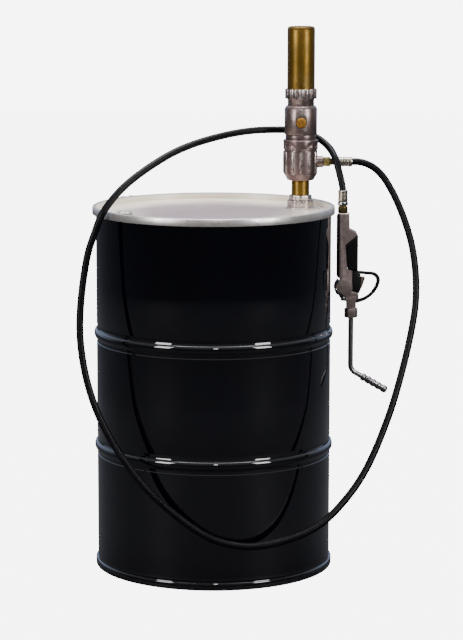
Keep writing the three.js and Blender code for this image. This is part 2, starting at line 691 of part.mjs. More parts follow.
function nozzleSleeve() {
  const profile = [[7.2, 18]];
  for (let i = 0; i < 4; i += 1) {
    const z = 18 + 14 * i;
    profile.push([7.8, z], [9.5, z + 2], [9.5, z + 8], [8, z + 10]);
  }
  profile.push([8, 77], [9.5, 79], [9, 86], [6.5, 90], [4, 90], [4, 79.5], [7.2, 79.5]);
  return turned(profile, SMALL);
}

function buildGun(root) {
  const gun = group(root, 'gun', [SWIVEL_X, SWIVEL_Y, 0]);
  piece(gun, 'swivel_collar', turned([
    [7.4, 884.4], [12.5, 884.4], [13, 886], [13, 891], [12, 893], [7.4, 893],
  ], SMALL), 'steel');
  piece(gun, 'gun_inlet_fitting', inletFitting(), 'brass');
  piece(gun, 'gun_body', gunBody(), 'castAluminium');
  piece(gun, 'grip_cover', gripCover(), 'blackPlastic');
  piece(gun, 'handle_insert', handleInsert(), 'blackPlastic');
  piece(gun, 'head_bumper', headBumper(), 'blackPlastic');
  piece(gun, 'bumper_screw', bumperScrew(), 'steel', [3, 0, 656]);
  piece(gun, 'trigger_guard', triggerGuard(), 'blackPlastic');
  piece(gun, 'trigger', trigger(), 'triggerMetal');
  piece(gun, 'trigger_pin', alongY(rod(2, -11.8, 11.8, 12)), 'steel', [TRIGGER_X, 0, TRIGGER_Z]);
  piece(gun, 'valve_stem', valveStem(), 'steel', [0, 0, STEM_Z]);
  piece(gun, 'valve_spring', valveSpring(), 'steel', [0, 0, STEM_Z]);
  piece(gun, 'valve_cap', valveCap(), 'brass', [0, 0, STEM_Z]);
  const nut = cut(prism(hexOutline(29), 607, 629.6), rod(6.9, 600, 640));
  piece(gun, 'spout_nut', nut, 'castAluminium', [SPOUT_X, 0, 0]);
  piece(gun, 'spout_tube', spoutTube(), 'nickel');
  const bendEnd = [
    SPOUT_X + SPOUT_BEND_R * (1 - Math.cos(SPOUT_BEND)),
    0,
    SPOUT_BEND_Z - SPOUT_BEND_R * Math.sin(SPOUT_BEND),
  ];
  const sleeve = piece(gun, 'nozzle_sleeve', nozzleSleeve(), 'nickel', bendEnd);
  sleeve.rotation.y = Math.PI - SPOUT_BEND;
}

// ---------------------------------------------------------------- whole object

const object = new THREE.Group();
object.name = 'fluid_transfer_pump';
const assembly = group(object, 'drum_set', [DRUM_X, 0, 0]);
buildDrum(assembly);
buildPump(assembly);
buildHose(assembly);
buildGun(assembly);

export default object;
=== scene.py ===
"""A fluid transfer pump in the bung of a steel drum, with its hose and dispensing gun.

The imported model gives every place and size. Each sub-assembly is a class that models its own pieces
with Blender's operators and dresses them in procedural finishes.
"""

import json
import logging
import math
from dataclasses import dataclass
from enum import Enum, IntEnum
from typing import Iterable, Sequence

import bpy
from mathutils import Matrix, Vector

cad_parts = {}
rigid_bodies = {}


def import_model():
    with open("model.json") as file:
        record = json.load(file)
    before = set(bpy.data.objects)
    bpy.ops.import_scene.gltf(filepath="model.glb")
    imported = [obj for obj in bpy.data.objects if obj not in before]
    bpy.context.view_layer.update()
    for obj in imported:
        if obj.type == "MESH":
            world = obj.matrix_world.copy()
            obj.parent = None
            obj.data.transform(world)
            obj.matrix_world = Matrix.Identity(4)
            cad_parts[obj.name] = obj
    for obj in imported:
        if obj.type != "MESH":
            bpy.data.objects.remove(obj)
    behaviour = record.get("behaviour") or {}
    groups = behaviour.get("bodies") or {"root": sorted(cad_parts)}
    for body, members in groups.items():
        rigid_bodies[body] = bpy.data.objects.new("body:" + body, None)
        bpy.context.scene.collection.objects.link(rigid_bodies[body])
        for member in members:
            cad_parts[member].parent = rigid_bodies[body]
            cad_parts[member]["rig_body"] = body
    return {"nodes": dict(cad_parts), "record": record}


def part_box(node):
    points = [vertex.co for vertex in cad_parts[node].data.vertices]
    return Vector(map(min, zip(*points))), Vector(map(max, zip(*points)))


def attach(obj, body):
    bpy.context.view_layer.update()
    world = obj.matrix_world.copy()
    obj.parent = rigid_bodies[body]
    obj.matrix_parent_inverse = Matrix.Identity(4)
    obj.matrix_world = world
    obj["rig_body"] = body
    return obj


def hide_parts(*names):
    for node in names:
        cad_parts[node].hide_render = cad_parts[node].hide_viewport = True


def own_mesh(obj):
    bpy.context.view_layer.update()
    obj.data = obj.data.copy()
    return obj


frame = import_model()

LOG = logging.getLogger("pump")
MM = 0.001
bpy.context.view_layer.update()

Object = bpy.types.Object
Socket = bpy.types.NodeSocket
Pair = tuple[float, float]
Profile = list[Pair]
Place = tuple[float, float, float]
Colour = tuple[float, float, float, float]
RIGHT, BACK, UP = Vector((1, 0, 0)), Vector((0, 1, 0)), Vector((0, 0, 1))


class Facets(IntEnum):
    """Flat faces round a turned piece, by the kind of piece."""

    STUB = 32
    NIPPLE = 40
    FITTING = 48
    FERRULE = 56
    TOOL = 64
    TUBE = 72
    BODY = 96
    DRUM = 128


class Change(Enum):
    """What one solid does to another."""

    JOIN = "UNION"
    CUT = "DIFFERENCE"
    KEEP = "INTERSECT"


# ------------------------------------------------------------------ modelling bench


@dataclass(frozen=True)
class Axis:
    """A straight line that pieces are turned about or raised along."""

    origin: Vector
    along: Vector
    side: Vector

    def at(self, radius: float, height: float, across: float = 0.0) -> Vector:
        """Return the point so far to the side, along the axis and square to both, in metres."""
        third = self.along.cross(self.side)
        return self.origin + self.side * radius + self.along * height + third * across

    @classmethod
    def upright(cls, node: str) -> "Axis":
        """Return the vertical line through the middle of a CAD node, from the floor."""
        low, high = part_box(node)
        return cls(Vector(((low[0] + high[0]) / 2, (low[1] + high[1]) / 2, 0.0)), UP, RIGHT)

    def branch(self, height: float, along: Vector) -> "Axis":
        """Return an axis that leaves this one squarely at a height in millimetres."""
        side = self.along.cross(along).normalized()
        return Axis(self.at(0.0, height * MM), along.normalized(), side)

    def facing(self, degrees: float) -> "Axis":
        """Return this upright axis with its side turned to an angle."""
        turn = math.radians(degrees)
        return Axis(self.origin, self.along, Vector((math.cos(turn), math.sin(turn), 0.0)))


class Bench:
    """Modelling moves made with Blender's own operators."""

    @staticmethod
    def clear() -> None:
        """Leave edit mode and deselect everything."""
        active = bpy.context.view_layer.objects.active
        if active is not None and active.mode != "OBJECT":
            bpy.ops.object.mode_set(mode="OBJECT")
        bpy.ops.object.select_all(action="DESELECT")

    @staticmethod
    def activate(obj: Object) -> None:
        """Make one object the only selected and active one."""
        Bench.clear()
        obj.select_set(True)
        bpy.context.view_layer.objects.active = obj

    @staticmethod
    def named(name: str) -> Object:
        """Return the object that was just added, under its own name."""
        obj = bpy.context.object
        obj.name = name
        return obj

    @staticmethod
    def edit(kind: str = "VERT") -> None:
        """Enter edit mode with all of the active object selected."""
        bpy.ops.object.mode_set(mode="EDIT")
        bpy.ops.mesh.select_mode(type=kind)
        bpy.ops.mesh.select_all(action="SELECT")

    @staticmethod
    def modify(obj: Object, kind: str, **settings: object) -> None:
        """Add a modifier with its settings and apply it."""
        Bench.activate(obj)
        modifier = obj.modifiers.new(kind.lower(), kind)
        for key, value in settings.items():
            setattr(modifier, key, value)
        bpy.ops.object.modifier_apply(modifier=modifier.name)

    @staticmethod
    def extrude(move: Vector) -> None:
        """Extrude what is selected by a vector in metres."""
        bpy.ops.mesh.extrude_region_move(TRANSFORM_OT_translate={"value": move})

    @staticmethod
    def chain(name: str, points: Sequence[Vector]) -> Object:
        """Extrude one vertex along a list of points and stay in edit mode.

        Args:
            name: Name of the new object.
            points: The points, in the model's frame.

        Returns:
            The object, in edit mode, with all of it selected.
        """
        Bench.clear()
        bpy.ops.mesh.primitive_plane_add(size=MM, location=points[0])
        obj = Bench.named(name)
        obj.data.name = name
        bpy.ops.object.transform_apply(location=True, rotation=True, scale=True)
        Bench.edit()
        bpy.ops.mesh.merge(type="CENTER")
        for start, end in zip(points, points[1:]):
            Bench.extrude(end - start)
        bpy.ops.mesh.select_all(action="SELECT")
        return obj

    @staticmethod
    def seal(obj: Object) -> None:
        """Merge doubled vertices, turn every face outwards and leave edit mode."""
        Bench.activate(obj)
        Bench.edit()
        bpy.ops.mesh.remove_doubles(threshold=1e-6)
        bpy.ops.mesh.normals_make_consistent(inside=False)
        bpy.ops.object.mode_set(mode="OBJECT")

    @staticmethod
    def turn(name: str, axis: Axis, profile: Profile, steps: int = Facets.TOOL) -> Object:
        """Turn a profile about an axis.

        Args:
            name: Name of the new object.
            axis: The line that it is turned about.
            profile: (radius, height) pairs in millimetres, which end on the axis or close a loop.
            steps: Number of steps in the full turn.

        Returns:
            The turned solid.
        """
        pairs = list(profile)
        if pairs[0][0] > 0 or pairs[-1][0] > 0:
            pairs.append(pairs[0])
        obj = Bench.chain(name, [axis.at(r * MM, h * MM) for r, h in pairs])
        bpy.ops.mesh.spin(steps=int(steps), angle=math.tau, center=axis.origin, axis=axis.along)
        Bench.seal(obj)
        return obj

    @staticmethod
    def prism(name: str, axis: Axis, outline: Profile, low: float, high: float) -> Object:
        """Raise a closed outline along an axis.

        Args:
            name: Name of the new object.
            axis: The line that the outline is raised along.
            outline: (side, across) pairs in millimetres.
            low: Height of the first face, in millimetres.
            high: Height of the last face, in millimetres.

        Returns:
            The solid.
        """
        points = [axis.at(x * MM, low * MM, y * MM) for x, y in outline]
        obj = Bench.chain(name, points)
        bpy.ops.mesh.edge_face_add()
        bpy.ops.mesh.select_all(action="SELECT")
        Bench.extrude(axis.along * (high - low) * MM)
        Bench.seal(obj)
        return obj

    @staticmethod
    def soften(obj: Object, width: float, segments: int = 2, angle: float = 30.0) -> None:
        """Round the edges sharper than an angle in degrees, to a width in millimetres."""
        Bench.modify(obj, "BEVEL", width=width * MM, segments=segments, limit_method="ANGLE",
                     angle_limit=math.radians(angle), harden_normals=False)

    @staticmethod
    def combine(obj: Object, tool: Object, change: Change) -> None:
        """Join another solid to an object, cut it away, or keep what lies inside it. The solid is used up."""
        Bench.modify(obj, "BOOLEAN", operation=change.value, solver="EXACT", object=tool)
        bpy.data.objects.remove(tool, do_unlink=True)

    @staticmethod
    def work(obj: Object, change: Change, axis: Axis, profile: Profile, steps: int = Facets.TOOL) -> None:
        """Turn a profile about an axis and change an object by it."""
        Bench.combine(obj, Bench.turn("tool", axis, profile, steps), change)

    @staticmethod
    def smooth(obj: Object, angle: float = 32.0) -> None:
        """Shade smooth, except across edges sharper than an angle in degrees."""
        Bench.activate(obj)
        bpy.ops.object.shade_smooth_by_angle(angle=math.radians(angle))
        Bench.clear()


def arc(centre_r: float, centre_h: float, radius: float, start: float, end: float, steps: int) -> Profile:
    """Return points on a circular arc between two angles in degrees, both ends included."""
    angles = [math.radians(start + (end - start) * i / steps) for i in range(steps + 1)]
    return [(centre_r + radius * math.cos(a), centre_h + radius * math.sin(a)) for a in angles]


def rod(radius: float, low: float, high: float) -> Profile:
    """Return the profile of a plain solid cylinder, in millimetres."""
    return [(0.0, low), (radius, low), (radius, high), (0.0, high)]


def hexagon(across_flats: float) -> Profile:
    """Return a hexagon's corners, in millimetres."""
    return arc(0, 0, across_flats / math.sqrt(3), 0, 300, 5)


def lobes(radius: float, depth: float, count: int, steps: int, power: float = 1.0) -> Profile:
    """Return a wavy closed outline, in millimetres.

    Args:
        radius: Mean radius.
        depth: Height of the lobes over the mean.
        count: Number of lobes.
        steps: Number of points.
        power: Below 1, the lobes get flat tops and steep sides.

    Returns:
        The outline's points.
    """
    out = []
    for i in range(steps):
        turn = math.tau * i / steps
        wave = math.cos(count * turn)
        reach = radius + depth * math.copysign(abs(wave) ** power, wave)
        out.append((reach * math.cos(turn), reach * math.sin(turn)))
    return out


# ------------------------------------------------------------------ finishes


def srgb(red: int, green: int, blue: int) -> Colour:
    """Turn a colour from 0 to 255 as seen on a screen into linear light."""
    parts = (c / 255 for c in (red, green, blue))
    return (*(c / 12.92 if c <= 0.04045 else ((c + 0.055) / 1.055) ** 2.4 for c in parts), 1.0)


class Graph:
    """A node tree being built."""

    def __init__(self, tree: bpy.types.NodeTree) -> None:
        """Take a tree and empty it."""
        self.tree = tree
        self.tree.nodes.clear()

    def add(self, kind: str, inputs: dict | None = None, **settings: object) -> bpy.types.Node:
        """Add a node and fill in its inputs.

        Args:
            kind: The shader node's type, such as Math, or a whole type name that starts with Node.
            inputs: Values or output sockets, by input name or number.
            settings: Properties of the node itself.

        Returns:
            The new node.
        """
        node = self.tree.nodes.new(kind if kind.startswith("Node") else "ShaderNode" + kind)
        for key, value in settings.items():
            setattr(node, key, value)
        for key, value in (inputs or {}).items():
            if isinstance(value, Socket):
                self.tree.links.new(value, node.inputs[key])
            else:
                node.inputs[key].default_value = value
        return node

    def math(self, operation: str, *values: object, clamp: bool = False) -> Socket:
        """Add a Math node on two or three values and return its output."""
        return self.add("Math", dict(enumerate(values)), operation=operation, use_clamp=clamp).outputs[0]

    def noise(self, where: object, scale: object, detail: float = 3.0, roughness: float = 0.55) -> Socket:
        """Add a Noise Texture and return its value."""
        inputs = {"Vector": where, "Scale": scale, "Detail": detail, "Roughness": roughness}
        return self.add("TexNoise", inputs).outputs["Fac"]

    def ramp(self, value: object, low: float, high: float, first: float = 0.0, last: float = 1.0) -> Socket:
        """Map a range of values smoothly onto another and return the result."""
        inputs = {"Value": value, "From Min": low, "From Max": high, "To Min": first, "To Max": last}
        return self.add("MapRange", inputs, interpolation_type="SMOOTHSTEP").outputs["Result"]

    def blend(self, amount: object, first: object, second: object) -> Socket:
        """Mix two colours and return the result."""
        mix = self.add("Mix", {"Factor": amount}, data_type="RGBA")
        for name, value in (("A", first), ("B", second)):
            socket = next(s for s in mix.inputs if s.name == name and s.type == "RGBA")
            if isinstance(value, Socket):
                self.tree.links.new(value, socket)
            else:
                socket.default_value = value
        return next(s for s in mix.outputs if s.type == "RGBA")

    def mask(self, effect: "Effect", where: Socket, scale: float, amount: float = 1.0) -> Socket:
        """Place a shared effect with its own values and return its mask."""
        inputs = {"Vector": where, "Scale": scale, "Amount": amount}
        return self.add("Group", inputs, node_tree=effect.tree()).outputs["Mask"]


class Effect(Enum):
    """Surface effects that several finishes share, each one node group."""

    MOTTLE = "mottle"
    EDGE_WEAR = "edge_wear"
    DUST = "settled_dust"
    GRAIN = "fine_grain"
    STREAKS = "machining_streaks"

    def tree(self) -> bpy.types.NodeTree:
        """Return the effect's node group, built on its first use."""
        made = bpy.data.node_groups.get(self.value)
        if made is not None:
            return made
        made = bpy.data.node_groups.new(self.value, "ShaderNodeTree")
        graph = Graph(made)
        for name, way, kind in (("Vector", "INPUT", "NodeSocketVector"), ("Scale", "INPUT", "NodeSocketFloat"),
                                ("Amount", "INPUT", "NodeSocketFloat"), ("Mask", "OUTPUT", "NodeSocketFloat")):
            made.interface.new_socket(name=name, in_out=way, socket_type=kind)
        given = graph.add("NodeGroupInput")
        where, scale, amount = (given.outputs[n] for n in ("Vector", "Scale", "Amount"))
        value = getattr(self, "_" + self.name.lower())(graph, where, scale)
        graph.add("NodeGroupOutput", {"Mask": graph.math("MULTIPLY", value, amount)})
        return made

    def _mottle(self, graph: Graph, where: object, scale: object) -> Socket:
        """Soft, cloudy variation from 0 to 1."""
        broad = graph.noise(where, scale, 4.0)
        close = graph.noise(where, graph.math("MULTIPLY", scale, 6.0), 3.0)
        both = graph.math("MULTIPLY_ADD", broad, 0.7, graph.math("MULTIPLY", close, 0.3))
        return graph.ramp(both, 0.32, 0.68)

    def _edge_wear(self, graph: Graph, where: object, scale: object) -> Socket:
        """Bright broken lines where the surface turns sharply outwards."""
        edge = graph.ramp(graph.add("NewGeometry").outputs["Pointiness"], 0.52, 0.6)
        chips = graph.ramp(graph.noise(where, scale, 5.0, 0.7), 0.42, 0.6)
        return graph.math("MULTIPLY", edge, chips)

    def _dust(self, graph: Graph, where: object, scale: object) -> Socket:
        """Dust on what faces up, gathered in patches."""
        split = graph.add("SeparateXYZ", {0: graph.add("NewGeometry").outputs["Normal"]})
        facing = graph.ramp(split.outputs["Z"], 0.5, 1.0)
        return graph.math("MULTIPLY", facing, graph.ramp(graph.noise(where, scale, 5.0, 0.65), 0.38, 0.75))

    def _grain(self, graph: Graph, where: object, scale: object) -> Socket:
        """Fine even grain, as from casting or moulding."""
        cells = graph.add("TexVoronoi", {"Vector": where, "Scale": scale}, feature="F1")
        noise = graph.math("MULTIPLY", graph.noise(where, scale, 4.0), 0.5)
        return graph.math("MULTIPLY_ADD", cells.outputs["Distance"], 0.5, noise)

    def _streaks(self, graph: Graph, where: object, scale: object) -> Socket:
        """Fine parallel lines, once the vector has been stretched along them."""
        return graph.ramp(graph.noise(where, scale, 6.0, 0.7), 0.3, 0.7)


class Lay(Enum):
    """The way that machining or drawing lines run, as the scale of each coordinate."""

    ROUND_UPRIGHT = (0.04, 0.04, 1.0)
    ROUND_SIDEWAYS = (1.0, 0.04, 0.04)
    LENGTHWISE_UPRIGHT = (1.0, 1.0, 0.03)
    NONE = (1.0, 1.0, 1.0)


STREAK_SCALE = 700.0
DUST_SCALE = 35.0
DUST_COLOUR = (0.42, 0.38, 0.34, 1.0)


@dataclass(frozen=True)
class Finish:
    """A surface: two colours that cloud into each other, wear, dust, grain and machining lines."""

    name: str
    colour: Colour
    second: Colour
    roughness: float
    roughness_spread: float = 0.1
    metallic: float = 0.0
    mottle_scale: float = 14.0
    worn: Colour = (0.6, 0.6, 0.6, 1.0)
    wear: float = 0.0
    dust: float = 0.06
    grain_scale: float = 900.0
    grain_depth: float = 0.02
    lay: Lay = Lay.NONE
    streak_depth: float = 0.0
    streak_shade: float = 0.0
    coat: float = 0.0
    coat_roughness: float = 0.05
    specular: float = 0.5
    wear_scale: float = 120.0

    def material(self) -> bpy.types.Material:
        """Return the finish's material, built on its first use."""
        title = self.name + "_finish"
        made = bpy.data.materials.get(title)
        if made is not None:
            return made
        made = bpy.data.materials.new(title)
        made.use_nodes = True
        graph = Graph(made.node_tree)
        where = graph.add("TexCoord").outputs["Object"]
        cloud = graph.mask(Effect.MOTTLE, where, self.mottle_scale)
        stretched = graph.add("Mapping", {"Vector": where, "Scale": self.lay.value}).outputs["Vector"]
        lines = graph.mask(Effect.STREAKS, stretched, STREAK_SCALE)
        wear = graph.mask(Effect.EDGE_WEAR, where, self.wear_scale, self.wear)
        dust = graph.mask(Effect.DUST, where, DUST_SCALE, self.dust)
        grain = graph.mask(Effect.GRAIN, where, self.grain_scale)
        dark = (*(c * (1.0 - self.streak_shade) for c in self.second[:3]), 1.0)
        colour = graph.blend(cloud, self.colour, self.second)
        colour = graph.blend(graph.math("MULTIPLY", lines, self.streak_shade), colour, dark)
        colour = graph.blend(wear, self.detail(graph, where, colour), self.worn)
        colour = graph.blend(dust, colour, DUST_COLOUR)
        smoothest = self.roughness - self.roughness_spread / 2
        spread = graph.math("MULTIPLY_ADD", cloud, self.roughness_spread, smoothest)
        rough = graph.math("MULTIPLY_ADD", dust, 0.5, spread, clamp=True)
        scored = graph.math("MULTIPLY", lines, self.streak_depth)
        height = graph.math("MULTIPLY_ADD", grain, self.grain_depth, scored)
        bump = graph.add("Bump", {"Height": height, "Strength": 1.0, "Distance": MM})
        shader = graph.add("BsdfPrincipled", {
            "Base Color": colour, "Roughness": rough, "Metallic": self.metallic,
            "Normal": bump.outputs["Normal"], "Coat Weight": self.coat,
            "Coat Roughness": self.coat_roughness, "Specular IOR Level": self.specular,
        })
        graph.add("OutputMaterial", {"Surface": shader.outputs[0]})
        return made

    def detail(self, graph: Graph, where: Socket, colour: Socket) -> Socket:
        """Add the finish's extra colouring, which on the lid is a painted shade; the plain finish has none."""
        return colour


@dataclass(frozen=True)
class Chromate(Finish):
    """Yellow chromate on zinc, which drifts between olive, gold and a faint rose."""

    rose: Colour = srgb(98, 58, 22)

    def detail(self, graph: Graph, where: Socket, colour: Socket) -> Socket:
        """Lay slow rose and olive drifts over the gold."""
        drift = graph.ramp(graph.noise(where, 22.0, 2.0), 0.5, 0.75, 0.0, 0.45)
        return graph.blend(drift, colour, self.rose)


@dataclass(frozen=True)
class LidEnamelWithPaintedShade(Finish):
    """Cream enamel with a painted mauve-grey shade over the middle of the lid, which stands in for the darker
    reflection there.
    """

    film: Colour = srgb(142, 112, 118)
    centre_x: float = -0.068

    def detail(self, graph: Graph, where: Socket, colour: Socket) -> Socket:
        """Lay the painted shade over the middle, with a cloudy edge."""
        level = {"Vector": where, "Location": (-self.centre_x, 0.0, 0.0), "Scale": (1.0, 1.0, 0.0)}
        centred = graph.add("Mapping", level).outputs["Vector"]
        reach = graph.add("VectorMath", {0: centred}, operation="LENGTH").outputs["Value"]
        ragged = graph.math("MULTIPLY_ADD", graph.noise(where, 9.0, 5.0), 0.12, reach)
        # Painted shade: the middle of the lid is blended towards mauve-grey, darker than the enamel.
        return graph.blend(graph.ramp(ragged, 0.20, 0.31, 0.8, 0.0), colour, self.film)


@dataclass(frozen=True)
class FinishShop:
    """Every finish of the set, by the slot that it belongs to."""

    finishes: dict[str, Finish]

    @classmethod
    def stocked(cls) -> "FinishShop":
        """Return the shop with all of its finishes mixed."""
        stock = (
            Finish("drum_paint", (0.0004, 0.0004, 0.0014, 1), (0.0006, 0.0006, 0.0028, 1), 0.05, 0.03,
                   mottle_scale=5, worn=srgb(70, 64, 66), wear=0.15, dust=0.012, grain_scale=420,
                   grain_depth=0.004, coat=0.9, coat_roughness=0.03, specular=0.4),
            # The lid's enamel carries a painted shade over its middle.
            LidEnamelWithPaintedShade("lid_paint", srgb(238, 230, 214), srgb(228, 214, 198), 0.34, 0.12, mottle_scale=4,
                      worn=srgb(120, 100, 84), wear=0.5, dust=0.05, grain_scale=500, grain_depth=0.01,
                      coat=0.25, coat_roughness=0.12),
            Finish("zinc_plate", srgb(228, 222, 218), srgb(196, 188, 186), 0.32, 0.14, 0.8, 60, wear=0.2,
                   worn=srgb(235, 235, 235), grain_scale=700, grain_depth=0.01),
            Finish("adaptor_zinc", srgb(214, 204, 200), srgb(168, 154, 150), 0.3, 0.12, 1.0, 70, wear=0.5,
                   worn=srgb(240, 236, 230), grain_scale=700, grain_depth=0.015, lay=Lay.ROUND_UPRIGHT,
                   streak_depth=0.01, streak_shade=0.2),
            Finish("seal_rubber", srgb(26, 26, 28), srgb(40, 39, 40), 0.8, 0.15, mottle_scale=60,
                   grain_scale=1500, grain_depth=0.03),
            Chromate("gold_chromate", srgb(124, 94, 28), srgb(96, 72, 18), 0.4, 0.1, 0.85, 30, wear=0.12,
                     worn=srgb(196, 184, 150), grain_depth=0.008, lay=Lay.LENGTHWISE_UPRIGHT,
                     streak_depth=0.006, streak_shade=0.2, coat=0.1, coat_roughness=0.2),
            Finish("bare_steel", srgb(190, 190, 192), srgb(150, 148, 146), 0.32, 0.14, 1.0, 80,
                   lay=Lay.ROUND_UPRIGHT, streak_depth=0.01, streak_shade=0.25),
            Finish("polished_rod", srgb(215, 215, 216), srgb(190, 190, 192), 0.12, 0.06, 1.0, 60,
                   lay=Lay.ROUND_UPRIGHT, streak_depth=0.004, streak_shade=0.1),
            Finish("cast_aluminium", srgb(158, 138, 134), srgb(112, 96, 94), 0.34, 0.16, 0.92, 40, wear=0.4,
                   worn=srgb(236, 228, 222), grain_scale=650, grain_depth=0.05, lay=Lay.ROUND_UPRIGHT,
                   streak_depth=0.012, streak_shade=0.3),
            Finish("brass", srgb(150, 134, 84), srgb(100, 88, 46), 0.34, 0.14, 1.0, 90, wear=0.5,
                   worn=srgb(224, 208, 150), grain_depth=0.012, lay=Lay.ROUND_SIDEWAYS,
                   streak_depth=0.01, streak_shade=0.3),
            Finish("sintered_bronze", srgb(170, 122, 42), srgb(96, 66, 22), 0.62, 0.2, 0.75, 260, wear=0.2,
                   worn=srgb(210, 170, 90), grain_scale=520, grain_depth=0.28),
            Finish("nickel_plate", srgb(204, 198, 184), srgb(162, 154, 138), 0.28, 0.12, 1.0, 90, wear=0.4,
                   worn=srgb(236, 232, 224), lay=Lay.ROUND_SIDEWAYS, streak_depth=0.006, streak_shade=0.2),
            Finish("hose_rubber", srgb(7, 7, 10), srgb(13, 13, 17), 0.36, 0.14, mottle_scale=45, dust=0.02,
                   grain_scale=1300, grain_depth=0.05, specular=0.14),
            Finish("gun_aluminium", srgb(190, 172, 168), srgb(140, 122, 118), 0.36, 0.14, 0.9, 50, wear=0.35,
                   worn=srgb(232, 222, 216), grain_scale=800, grain_depth=0.05),
            Finish("black_plastic", srgb(10, 10, 12), srgb(17, 17, 20), 0.42, 0.12, mottle_scale=60, wear=0.2,
                   dust=0.02, worn=srgb(60, 58, 58), grain_scale=1500, grain_depth=0.05, specular=0.25),
            Finish("trigger_metal", srgb(150, 122, 108), srgb(106, 86, 76), 0.36, 0.12, 0.8, 60, wear=0.3,
                   worn=srgb(196, 180, 168)),
            Finish("spout_plate", srgb(164, 158, 162), srgb(120, 114, 118), 0.32, 0.12, 1.0, 60, wear=0.3,
                   worn=srgb(206, 204, 204)),
            Finish("seal_plastic", srgb(226, 220, 208), srgb(206, 200, 188), 0.5, 0.1, mottle_scale=80),
            Finish("floor_paper", srgb(56, 56, 58), srgb(52, 52, 54), 0.75, 0.05, mottle_scale=1.2, dust=0.0,
                   grain_scale=300, grain_depth=0.01, specular=0.2),
        )
        return cls({finish.name: finish for finish in stock})

    def dress(self, obj: Object, slot: str) -> None:
        """Give an object one finish in place of all of its materials."""
        obj.data.materials.clear()
        obj.data.materials.append(self.finishes[slot].material())


# ------------------------------------------------------------------ sub-assemblies


@dataclass
class SubAssembly:
    """A group of pieces that are built, dressed and put on their bodies together."""

    shop: FinishShop
    body: str = "base"

    def fit(self, obj: Object, slot: str, nodes: Iterable[str] = (), body: str | None = None,
            angle: float = 32.0) -> Object:
        """Dress a new piece, put it on its body and let it take the place of CAD nodes.

        Args:
            obj: The new piece.
            slot: Its finish and record slot.
            nodes: The CAD nodes that it replaces.
            body: The body that it rides on, if not the sub-assembly's own.
            angle: Edges sharper than this, in degrees, stay sharp.

        Returns:
            The piece.
        """
        Bench.smooth(obj, angle)
        self.shop.dress(obj, slot)
        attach(obj, body or self.body)
        if nodes:
            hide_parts(*nodes)
        LOG.info("%s: %d faces, %s", obj.name, len(obj.data.polygons), slot)
        return obj

    def turned(self, name: str, axis: Axis, profile: Profile, slot: str, nodes: Iterable[str] = (),
               steps: int = Facets.TOOL, round_off: float = 0.0, body: str | None = None) -> Object:
        """Turn a piece from (radius, height) pairs in millimetres, round its edges and fit it."""
        obj = Bench.turn(name, axis, profile, steps)
        if round_off:
            Bench.soften(obj, round_off)
        return self.fit(obj, slot, nodes, body)

    def ferrule(self, name: str, axis: Axis, low: float, high: float, node: str) -> None:
        """Turn a crimped ferrule with its rolled rings, which stays on the base with its hose.

        Args:
            name: Name of the new object.
            axis: The hose's axis where it leaves the fitting.
            low: Height of the fitting's end, in millimetres.
            high: Height of the hose's end, in millimetres.
            node: The CAD node that it replaces.
        """
        rings, plain = 4, 13.0
        groove = ((11.2, 0), (11.2, 0.45), (12.0, 0.62), (12.0, 0.9))
        step = (high - low - plain) / rings
        profile = [(11.2, low), (12.0, low + 1.0), (12.0, low + 5.5)]
        for i in range(rings):
            foot = low + plain / 2 + step * i
            profile += [(r, foot + step * part) for r, part in groove]
        profile += [(12.0, high - 2.0), (11.0, high - 0.2), (9.6, high)]
        profile += [(8.9, high), (8.9, low + 3), (8.4, low + 3), (8.4, low)]
        self.turned(name, axis, profile, "nickel_plate", (node,), Facets.FERRULE, body="base")


@dataclass
class Drum(SubAssembly):
    """The steel drum's shell: rolling hoops, foot chime and curled rim."""

    radius: float = 286.5
    wall: float = 1.2
    hoops: Pair = (300.5, 578.0)
    hoop_rise: float = 6.0
    hoop_stretch: float = 1.75

    def build(self) -> None:
        """Turn the shell."""
        r, inner = self.radius, self.radius - self.wall
        profile = [(290.9, 0), (291.5, 0.8), (291.5, 14.5), (290.6, 16.2), (287.4, 17), (r, 19), (r, 30)]
        profile += self.hoop(self.hoops[0]) + [(r, 440.0)] + self.hoop(self.hoops[1])
        profile += [(r, 700), (r, 862), (r, 870), (r + 0.1, 875.5), (287, 879.2)]
        profile += arc(287.6, 880.6, 2.4, -90, 60, 6)
        profile += [(inner, 881.5), (inner, 19.5), (inner, 0.8), (287.5, 0)]
        axis = Axis.upright("drum_shell")
        self.turned("steel_drum_shell", axis, profile, "drum_paint", ("drum_shell",), Facets.DRUM)

    def hoop(self, height: float) -> Profile:
        """Return a rolling hoop's profile: a soft groove, the swell, and a steeper groove."""
        r = self.radius
        lower = ((0, -22), (-0.5, -21.4), (-2.1, -19.4), (-2.5, -18.2), (-2.4, -16.6), (-1.4, -14),
                 (-0.4, -12.5))
        upper = ((-0.4, 12.5), (-2.2, 17), (-2.2, 20), (0, 24))
        swell = [(x, h * self.hoop_stretch) for x, h in arc(0, 0, self.hoop_rise, -90, 90, 14)]
        return [(r + x, height + h) for x, h in (*lower, *swell, *upper)]


